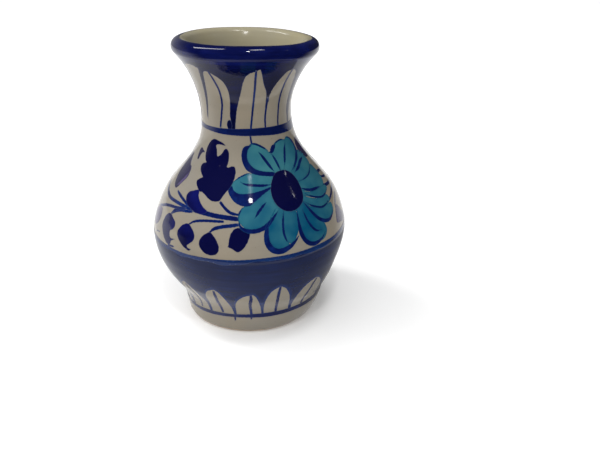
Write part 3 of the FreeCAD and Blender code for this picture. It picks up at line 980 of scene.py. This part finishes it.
# ---------------------------------------------------------------- the flower spray
# Outlines on the pot's chart for the spray in front, as (degrees round, height).  Each petal also
# says how strong its turquoise is.
PETALS = [
    (0.30, [(22, 90.6), (12, 91.6), (4, 93.2), (-0.5, 96.5), (-1, 99.5), (2, 102.4), (8, 103.2),
            (14, 102.2), (20, 100.2), (25.5, 97.3), (28.5, 93.5), (28.6, 90.6)]),
    (0.50, [(29, 90.8), (27.6, 95), (25.5, 98.2), (28, 100.8), (33, 103.2), (39, 104),
            (45, 103.8), (48, 102.8), (44, 99.5), (38, 94.5), (34, 90.8)]),
    (0.50, [(33, 90.6), (38, 94.8), (44, 99.8), (48.5, 103.4), (53, 104.4), (58, 103.2),
            (62, 100.4), (61.5, 97.8), (56, 95.8), (50, 92.6), (43, 90), (38, 89.6)]),
    (0.60, [(40, 89.4), (48, 91.6), (55, 95), (61, 96.6), (67, 96), (70.5, 93.5), (71, 90.2),
            (66, 88.4), (56, 86.6), (47, 85.4), (41, 85.6)]),
    (0.60, [(41, 85.2), (49, 85.2), (57, 86.2), (66, 88.2), (71, 88.4), (72.5, 85.6),
            (71.5, 82.2), (67, 79.8), (60, 79.6), (52, 79.8), (45, 80.6), (40.6, 82.6)]),
    (0.60, [(40.4, 81.2), (46, 79.8), (53, 79.4), (61, 79.4), (67, 79), (68, 77.6), (63, 76.4),
            (56, 75.8), (49, 76.8), (42, 78.8), (39.6, 80)]),
    (0.60, [(39.2, 79), (45, 77.2), (52, 75.8), (60, 75.8), (63, 74.4), (62, 72.6), (56, 71.6),
            (49, 72), (43, 73.8), (38, 76.6)]),
    (0.70, [(37.6, 76.2), (43, 73.4), (50, 71.6), (57, 71.4), (62, 71.4), (62.5, 69), (60, 66.4),
            (54.5, 65.2), (48.5, 66.4), (43.5, 69.4), (39.5, 73)]),
    (0.85, [(31.2, 74.6), (36.6, 76), (40, 72), (45.4, 67.6), (48.6, 64.4), (49.2, 60.6),
            (45.6, 57.6), (39.5, 57.4), (34.5, 58.8), (31.6, 62.4), (30.4, 68)]),
    (0.90, [(20.8, 74.4), (25.5, 73.6), (29.2, 72.6), (28.6, 67.5), (27, 63.4), (23.5, 60.4),
            (20.8, 61.4), (19, 65.6), (19, 70.4)]),
    (0.85, [(16.4, 75.4), (20.6, 74.2), (19.2, 69.4), (19.4, 64), (21.2, 60.4), (21, 59),
            (16.5, 58.2), (12.4, 60.2), (10.2, 64.6), (10.4, 69.6), (13, 73)]),
    (0.55, [(15.4, 84.2), (9, 82), (2, 79), (-4.4, 76.8), (-6.6, 73.2), (-4.6, 69.8), (0, 68.2),
            (6, 69), (12, 72), (17, 75.4), (14.8, 79.2)]),
    (0.45, [(21, 89.2), (12, 89.6), (4, 90.2), (-3, 90.2), (-10, 88.4), (-13.6, 86),
            (-12.6, 83.6), (-8, 82.6), (0, 82.8), (8, 83.6), (15.8, 84.8)]),
]
FLOWER_HEART = (28.0, 82.0, 14.5, 8.5)          # the wash under the petals: centre and reach
EYE = [(27, 90.8), (33, 90.8), (38, 89.4), (41, 86), (40.6, 81.6), (38, 77.8), (33, 75.2),
       (27, 74), (21.5, 74.8), (17.4, 77.2), (15, 81), (15.6, 84.6), (19, 88.2), (23, 90.2)]
FLOWER_BLOBS = [
    [(22, 90.6), (12, 91.4), (4, 92.9), (-1.2, 96), (-1.6, 99.4), (0.5, 101.6), (4, 103),
     (0, 103), (-5, 102.2), (-7.6, 99.8), (-7.8, 97), (-5.8, 94), (-2.4, 91.8), (4, 90.2),
     (12, 89.4), (22, 89)],
    [(-14.4, 85.4), (-16.8, 83.4), (-15, 81.4), (-11, 79), (-6, 77.6), (-1, 77.6), (3, 79.4),
     (9, 82), (15.6, 84.2), (15.6, 84.9), (8, 83.7), (0, 82.7), (-8, 82.4), (-12.4, 83.6)],
]
PETAL_SPREAD = 0.08           # how far the turquoise runs in under its outlines
LINE_WEIGHT = 1.3             # the brush's width against the widths written below
STEM_WEIGHT = 1.4
# Brush strokes as (width, path).
FLOWER_LINES = [
    (0.8, [(1, 103.2), (5, 103.8), (10, 103.4), (16, 102), (22, 100.2)]),
    (1.6, [(22.5, 99.2), (25.5, 99.6), (29, 101.4), (33, 102.8)]),
    (1.0, [(25, 98.6), (27.6, 95.2), (29, 91)]),
    (0.6, [(29, 101.8), (35, 103.6), (42, 104.3), (49, 103.4)]),
    (1.1, [(50, 104.4), (56, 104.2), (61, 102), (62.4, 99.4), (60.5, 96.8), (55, 94.2),
           (47, 91.7), (41, 90)]),
    (1.0, [(48, 102.4), (44, 100), (40, 96.6), (35.4, 92.6)]),
    (1.2, [(10.5, 100), (13.5, 98.2), (17, 95.4), (20.5, 92.4), (22.5, 90.8)]),
    (0.6, [(39.5, 89.6), (47, 91.4), (54, 94.4), (60, 96.6), (66, 96.2)]),
    (1.1, [(42.5, 88.8), (50, 90.3), (57, 92.2), (66, 93.4)]),
    (0.5, [(41, 84.8), (50, 85.3), (58, 86.2), (68, 88.4), (71, 88.2)]),
    (1.0, [(40, 82.4), (45, 80.9), (50, 80.1), (56, 79.9), (61, 79.7)]),
    (0.7, [(40, 80.4), (45, 78.2), (51, 76.5), (57, 75.7), (63, 76.3), (67, 77.2)]),
    (0.8, [(38, 76.8), (42, 74.5), (47, 72.7), (52, 71.7), (58, 72.1), (62, 72.4)]),
    (1.5, [(36.6, 77.6), (39.4, 73.4), (43.4, 69), (48, 66), (53.5, 64.7), (58.5, 65.6),
           (61.8, 68)]),
    (1.1, [(34.2, 74.2), (35.2, 70), (37.6, 65.6), (41, 62.6), (45.5, 61.8)]),
    (1.8, [(30, 74), (29.4, 69), (29.8, 64), (31.8, 60), (35.6, 57.2), (40, 56.6), (45, 57.9),
           (48, 60.2)]),
    (1.0, [(20.8, 74.6), (19.2, 70), (18.9, 65.4), (20.2, 61.4), (22, 60.2)]),
    (2.2, [(12.4, 72.4), (9.6, 69), (8.7, 64.4), (9.6, 60.6), (12.4, 57.6), (16.5, 56.7),
           (21, 57.8), (25, 60), (28.2, 62.6)]),
    (1.6, [(-7.4, 71.6), (-5.8, 68.6), (-1.5, 67), (4, 67.2), (9, 69), (13, 71.9), (17.4, 75.2)]),
    (1.0, [(2, 72.4), (4.4, 74.8), (7.4, 77.2), (10.4, 79)]),
    (0.5, [(-13.6, 87.2), (-9, 88.9), (-4, 90.2), (0, 90.9)]),
    (0.9, [(-8.5, 87.2), (-4, 86.2), (3, 85.8), (10, 85.6), (17, 85.8)]),
    (0.6, [(-5.4, 77), (-7.2, 74.6), (-7.6, 72)]),
]
LOBED_LEAF = [
    [(-26, 102.2), (-30, 103.3), (-36, 104), (-42, 104.4), (-47, 103.2), (-50.5, 101),
     (-52, 98.5), (-51, 96), (-48.5, 94)],
    [(-45.5, 92.9), (-49, 92.2), (-50.6, 91), (-49, 89.4), (-46, 88), (-43, 87)],
    [(-42.4, 86.6), (-44.6, 85.8), (-46.4, 84.6), (-45, 83.2), (-42.5, 82.2)],
    [(-41, 81.6), (-40, 80.9), (-36.5, 80.9), (-33, 80), (-30, 79), (-26.5, 78.3), (-23, 78.5),
     (-21.4, 78.9), (-19.6, 81), (-18, 82.8), (-15.6, 84.6), (-14, 86.8), (-13, 89.4),
     (-13, 91.6), (-14.6, 93.2), (-17.5, 93.2), (-20.4, 92.6)],
    [(-22, 92.8), (-21.2, 94.6), (-21.2, 97.6), (-22.4, 99.8), (-25, 100.8), (-27.4, 100.2),
     (-29.4, 98.6), (-32, 97.2)],
    [(-34.6, 96.6), (-35.6, 97.6), (-36.8, 99.6), (-38.6, 101.4), (-36, 102.2), (-31, 102.3),
     (-28, 102.1)],
]
BEAN_LEAF = [(-41, 81.4), (-44.5, 80.5), (-47.6, 79.6), (-48.6, 77.8), (-47, 75.8), (-44, 74.2),
             (-40.5, 73.2), (-36, 72.2), (-31, 72.2), (-28.4, 73.2), (-28.4, 74.2), (-31, 75),
             (-34, 76.4), (-36.6, 78), (-38.6, 79.4), (-39, 80.6)]
# Thinner, more violet leaves at the sides of the spray, as (tone, outline).
PALE_LEAVES = [
    (0.88, [(-60.5, 86.5), (-63, 88.4), (-68, 89.2), (-72, 91.5), (-77, 93.6), (-82, 93),
            (-84, 89), (-80, 84.5), (-74, 80.6), (-69, 78.4), (-64.5, 78), (-62, 80.6),
            (-59.6, 84)]),
    (0.85, [(-53.4, 96.8), (-57, 97.5), (-61, 98.2), (-63.6, 97.6), (-64, 95.6), (-62, 93.2),
            (-59.4, 92.6), (-58.8, 95), (-57, 96.3)]),
    (0.45, [(-67.6, 62), (-69, 65.6), (-73, 66.2), (-78, 65), (-82, 61), (-80, 57.4), (-74, 56.2),
            (-70, 58.2)]),
    (0.70, [(65.6, 98), (68, 100.8), (72, 102.4), (78, 102.4), (84, 100.6), (86, 96.6),
            (82, 92.6), (76, 91.8), (70, 93.4), (66.4, 95.8)]),
    (0.55, [(63.2, 60.8), (64, 64), (66.4, 67), (69.4, 68.4), (72.4, 66.4), (76, 63.2),
            (80, 61.4), (82, 58.6), (76, 57.6), (69, 59), (65, 59.8)]),
]
BUD_TONES = (0.80, 0.70, 1.30, 1.30)
VIOLET_STREAK = [(-60.9, 86.0), (-61.6, 83.4), (-63.4, 80.8), (-65.6, 79.0)]
BUDS = [
    [[(-56, 67.4), (-58.6, 66.8), (-61, 64.8), (-62.2, 62), (-62, 59.4), (-60, 56.8), (-57, 54.4),
      (-54, 52.6), (-51.4, 52.4), (-50, 53.6), (-49.6, 55)],
     [(-46.4, 56.8), (-50.6, 56.4), (-52.2, 57.8), (-52.4, 59.6), (-50.6, 60.6), (-49, 62.4),
      (-49.4, 64.4), (-52, 65.8), (-54, 66.6)]],
    [[(-38.4, 66.6), (-41, 66), (-43.8, 64.2), (-45.4, 61.8), (-45.2, 59.4), (-43, 57.2),
      (-40, 55.4), (-37.4, 54.4), (-35, 53.9)],
     [(-33.6, 54.8), (-36, 55.2), (-36.8, 56.2), (-34.8, 57.8), (-33, 59.4), (-32.6, 61.4),
      (-33.8, 63.4), (-36, 65.2)]],
    [[(-23.4, 65), (-26.4, 63.8), (-28.6, 61.4), (-29.2, 59), (-27.8, 56.6), (-25, 54.8),
      (-21.8, 54.2), (-18.6, 54.9), (-17.2, 57), (-17.4, 59.4), (-19, 61.8), (-21, 63.6)]],
    [[(-5.4, 68.4), (-9, 68), (-11.2, 65.6), (-12, 62.6), (-12, 60.4)],
     [(-12.6, 59.4), (-10, 58.6), (-7.4, 57.2), (-5.4, 57.6), (-3.2, 59.6), (-1.4, 62.6),
      (-0.6, 65.6), (-2.4, 67.4)]],
]
STEMS = [
    (0.95, [(-21, 78.6), (-17, 76.4), (-12.5, 74.5), (-7, 73.9)]),
    (1.50, [(-7, 72.1), (-14, 72.4), (-22, 72.6), (-30, 72.9), (-38, 72.6)]),
    (1.10, [(-38, 72.8), (-48, 73.2), (-56, 73.3), (-64, 73.2), (-70, 73.8), (-76, 75),
            (-84, 77.5)]),
    (0.90, [(-42, 73.8), (-48, 75.2), (-54, 76.4), (-60.5, 77.6)]),
    (1.00, [(-38, 72.2), (-44, 71.4), (-50, 70.8), (-54, 69.4), (-56, 67.2)]),
    (0.60, [(-44.5, 71.2), (-48.6, 70.4), (-52.6, 69.0), (-55.4, 67.2)]),
    (0.90, [(-16, 70.6), (-24, 70.1), (-30, 69.4), (-35, 68.2), (-38.4, 66.2)]),
    (1.20, [(-7, 69.8), (-12, 69), (-17, 68.2), (-21.4, 66.8), (-24, 64.6)]),
    (1.00, [(-44, 72.4), (-52, 71.2), (-60, 70.2), (-66, 69), (-71, 67.4), (-77, 66)]),
    (0.50, [(-64, 55.2), (-68, 54.4), (-70, 53.6)]),
    (0.80, [(-52.4, 51.8), (-49.4, 52.4), (-46.5, 52.7)]),
    (0.80, [(66.6, 67.4), (69.4, 69.6), (73, 71.4), (78, 73)]),
    (0.80, [(58, 72.2), (64, 72.9), (70, 74.2), (76, 75.4), (84, 76)]),
    (1.00, [(57.5, 82.8), (60.5, 81.2), (65, 79.6), (70, 78.6), (78, 78), (86, 78)]),
    (0.80, [(72, 82.6), (76, 81.6), (82, 81)]),
    (0.90, [(71.5, 84.6), (76, 84.6), (82, 84)]),
]


def ellipse(angle, height, wide, tall):
    return [(angle + wide * math.cos(t), height + tall * math.sin(t))
            for t in np.linspace(0, 2 * math.pi, 17)[:-1]]


def swollen(outline, share):
    """An outline grown about its middle by a share of its size."""
    outline = np.array(outline, float)
    middle = outline.mean(axis=0)
    return middle + (outline - middle) * (1 + share)


def build_spray(side, turn):
    """One whole spray: the flower, its leaves, buds and stems, turned to its side of the pot."""
    petals, lines, eye, leaves, bean, buds, stems = (Paint() for _ in range(7))
    petals.patch(closed_outline(repeated(ellipse(*FLOWER_HEART), turn)), lift=0.05, tone=0.75)
    for i, (tone, outline) in enumerate(PETALS):
        outline = swollen(outline, PETAL_SPREAD)
        lift = 0.07 + 0.004 * (i % 3)       # neighbours overlap, so their lifts differ
        petals.patch(closed_outline(repeated(outline, turn)), lift=lift, tone=tone)
    for blob in FLOWER_BLOBS:
        lines.patch(closed_outline(repeated(blob, turn)), lift=0.10)
    for width, path in FLOWER_LINES:
        lines.patch(brush_outline(repeated(path, turn), width * LINE_WEIGHT), lift=0.11)
    eye.patch(closed_outline(repeated(EYE, turn)), lift=0.13, tone=1.1)
    leaves.patch(closed_outline(*(repeated(run, turn) for run in LOBED_LEAF)), lift=0.08, tone=1.06)
    for tone, outline in PALE_LEAVES:
        leaves.patch(closed_outline(repeated(outline, turn)), lift=0.07, tone=tone)
    leaves.patch(brush_outline(repeated(VIOLET_STREAK, turn), 2.0), lift=0.09, tone=0.15)
    bean.patch(closed_outline(repeated(BEAN_LEAF, turn)), lift=0.09, tone=0.60)
    for tone, runs in zip(BUD_TONES, BUDS):
        buds.patch(closed_outline(*(repeated(run, turn) for run in runs)), lift=0.08, tone=tone)
    for width, path in STEMS:
        stroke = brush_outline(repeated(path, turn), width * STEM_WEIGHT, 0.15, 0.3, 0.3)
        stems.patch(stroke, lift=0.06)
    petals.build(f"flower_petals_{side}", TURQUOISE, "turquoise", "turquoise_flower_petals")
    lines.build(f"flower_outlines_{side}", FLOWER_BLUE, "cobalt_paint")
    eye.build(f"flower_eye_{side}", INDIGO, "cobalt_paint", "cobalt_flower_eyes")
    leaves.build(f"lobed_leaves_{side}", INDIGO, "indigo", "indigo_lobed_leaves")
    bean.build(f"bean_leaf_{side}", VIVID_INDIGO, "indigo", "indigo_bean_leaves")
    buds.build(f"buds_{side}", VIVID_INDIGO, "indigo", "indigo_buds")
    stems.build(f"stems_{side}", LINE_BLUE, "cobalt_paint", "cobalt_stems")


# ---------------------------------------------------------------- floor, light and camera
# Round the pot, azimuths are in degrees as on its chart, and elevations are above the horizon.
BRIGHT_SIDE = (-0.70, 0.65, -0.25)        # towards the bright end of the room
ROOM_DIM, ROOM_BRIGHT = 0.045, 0.55
ROOM_FADE = (0.55, 0.95)                  # how squarely a direction faces that end as it brightens
BACKDROP = 1.0                            # the plain pale backdrop, as the camera sees it
BLACK_CARD = (-95, 122)                   # from one azimuth to another
BLACK_CARD_FADE = 34                      # degrees over which its ends fade out
BLACK_CARD_REACH, BLACK_CARD_TOP = 175, 215
GREY_CARD = (45, 150)                     # inner and outer radius
BLINKER_ELEVATION = 57                    # as seen from the point of the shoulder that it shades
SHADED_POINT = Vector((0, -32, 91))
BLINKER_AWAY = 60                         # millimetres from that point
BLINKER_HALF = (18.0, 8.0)                # half its width and half its height
SUN_STRENGTH, SUN_SPREAD = 2.15, 80
SUN_LEAN, SUN_TURN = 30, -35
LAMP_DISTANCE, LAMP_AIM = 1.2, 0.09       # metres off, and the height that the lamps aim at
# Soft boxes as (name, azimuth, elevation, width, height, watts, roll, mirrored in the glaze).
LAMPS = [
    ("front_fill", -10, 2, 0.40, 0.80, 2.9, 0, False),
    ("left_fill", -85, 55, 0.50, 0.90, 1.7, 0, False),
    ("front_window", 2, 57.6, 0.10, 0.07, 2.0, 0, True),
    ("side_window", 80, 43.0, 0.05, 0.02, 0.05, 0, True),
    ("ceiling_left", -103, 57, 0.62, 0.20, 5.5, -18, True),
    ("ceiling_middle", 40, 76, 0.22, 0.30, 3.0, 0, True),
]
LENS, SENSOR = 41.0, 36.0
CAMERA_PLACE = Vector((0, -0.3548, 0.2027))
CAMERA_AIM = Vector((0, 0, 0.0754))
CAMERA_PAN, CAMERA_TILT = -4.167, -3.699  # degrees off that aim, so that the vase is off centre


def build_floor():
    """A wide white table top."""
    bpy.ops.mesh.primitive_plane_add(size=6.0, location=(0, 0, 0))
    floor = bpy.context.object
    floor.name = "studio_floor"
    floor.data.materials.append(floor_material())


def lamp(name, azimuth, elevation, width, height, watts, roll, in_glaze):
    """A soft box aimed at the pot from a direction round it."""
    data = bpy.data.lights.new(name, "AREA")
    data.shape = "RECTANGLE"
    data.size, data.size_y = width, height
    data.energy = watts
    made = bpy.data.objects.new(name, data)
    turn, rise = math.radians(azimuth), math.radians(elevation)
    level = math.cos(rise)
    ahead = Vector((math.sin(turn) * level, -math.cos(turn) * level, math.sin(rise)))
    made.location = Vector((0, 0, LAMP_AIM)) + ahead * LAMP_DISTANCE
    aim = ahead.to_track_quat("Z", "X").to_matrix() @ Matrix.Rotation(math.radians(roll), 3, "Z")
    made.rotation_euler = aim.to_euler()
    made.visible_glossy = in_glaze
    bpy.context.scene.collection.objects.link(made)


def build_world():
    """A room that is dim but for one bright end, before a plain pale backdrop."""
    world = bpy.data.worlds.new("studio")
    bpy.context.scene.world = world
    world.use_nodes = True
    room = Nodes(world.node_tree)
    where = room.node("ShaderNodeTexCoord").outputs["Generated"]
    towards = room.node("ShaderNodeVectorMath", {0: where, 1: BRIGHT_SIDE}, operation="DOT_PRODUCT")
    light = room.between(towards.outputs["Value"], *ROOM_FADE, ROOM_DIM, ROOM_BRIGHT, "SMOOTHSTEP")
    seen = room.node("ShaderNodeLightPath").outputs["Is Camera Ray"]
    background = room.tree.nodes["Background"]
    background.inputs["Color"].default_value = (1.0, 1.0, 1.0, 1.0)
    shown = room.between(seen, 0.0, 1.0, light, BACKDROP)
    room.tree.links.new(shown, background.inputs["Strength"])


def build_sun():
    """A broad, even light for the table, with a very soft shadow and no mirror image."""
    data = bpy.data.lights.new("overhead_light", "SUN")
    data.energy, data.angle = SUN_STRENGTH, math.radians(SUN_SPREAD)
    made = bpy.data.objects.new("overhead_light", data)
    made.rotation_euler = (math.radians(SUN_LEAN), 0, math.radians(SUN_TURN))
    made.visible_glossy = False
    bpy.context.scene.collection.objects.link(made)


def only_in_glaze(card):
    """Keeps a card out of sight and out of the light, so that only the glaze mirrors it."""
    card.visible_camera = False
    card.visible_diffuse = False
    card.visible_transmission = False
    card.visible_shadow = False


def build_black_card():
    """A card bent round the table's edge, which keeps the room out of the glaze's mirror."""
    first, last = BLACK_CARD
    azimuths = np.arange(first, last + 1, 5.0)
    turns = np.radians(azimuths)
    reach, count = BLACK_CARD_REACH, len(turns)
    vertices = [(reach * math.sin(t), -reach * math.cos(t), z)
                for z in (0.5, BLACK_CARD_TOP) for t in turns]
    faces = [(i, i + 1, count + i + 1, count + i) for i in range(count - 1)]
    card = new_object("studio_black_card", vertices, faces, black_card())
    cover = smoothstep(0, BLACK_CARD_FADE, np.minimum(azimuths - first, last - azimuths))
    point_values(card, "cover", np.tile(cover, 2))
    only_in_glaze(card)


def build_grey_card():
    """A flat ring on the table, which keeps the brightest of it out of the glaze's mirror."""
    turns = np.radians(np.arange(0, 360, 5))
    count = len(turns)
    vertices = [(r * math.sin(t), -r * math.cos(t), 0.2) for r in GREY_CARD for t in turns]
    faces = [(i, (i + 1) % count, count + (i + 1) % count, count + i) for i in range(count)]
    only_in_glaze(new_object("studio_grey_card", vertices, faces, grey_card()))


def build_blinker():
    """A small black card by the shoulder, so that the front window is mirrored once, not twice."""
    rise = math.radians(BLINKER_ELEVATION)
    away = Vector((0, -math.cos(rise), math.sin(rise)))
    half_width, half_height = BLINKER_HALF
    across = Vector((half_width, 0, 0))
    up = away.cross(across).normalized() * half_height
    middle = SHADED_POINT + away * BLINKER_AWAY
    vertices = [middle + a * across + b * up for a, b in ((-1, -1), (1, -1), (1, 1), (-1, 1))]
    card = new_object("studio_blinker", vertices, [(0, 1, 2, 3)], black_card())
    point_values(card, "cover", np.ones(4))
    only_in_glaze(card)


def build_light():
    build_world()
    build_black_card()
    build_grey_card()
    build_blinker()
    build_sun()
    for soft_box in LAMPS:
        lamp(*soft_box)


def build_camera():
    """The photograph's view: from above in front, the vase left of and above the middle."""
    data = bpy.data.cameras.new("camera")
    data.lens, data.sensor_width = LENS, SENSOR
    camera = bpy.data.objects.new("camera", data)
    bpy.context.scene.collection.objects.link(camera)
    camera.location = CAMERA_PLACE
    ahead = (CAMERA_AIM - camera.location).normalized()
    side = Vector((1, 0, 0))
    above = side.cross(ahead)
    pan = Matrix.Rotation(math.radians(CAMERA_PAN), 3, "Y")
    tilt = Matrix.Rotation(math.radians(CAMERA_TILT), 3, "X")
    seen = pan @ tilt @ Matrix((side, above, ahead))
    camera.rotation_euler = Matrix((seen[0], seen[1], -seen[2])).transposed().to_euler()
    bpy.context.scene.camera = camera


build_clay()
build_glazes()
build_lip()
build_neck_bands()
build_foot_bands()
build_spray("front", 0)
build_spray("back", 180)
build_floor()
build_light()
build_camera()
bpy.context.scene.view_settings.view_transform = "Standard"
bpy.context.view_layer.update()
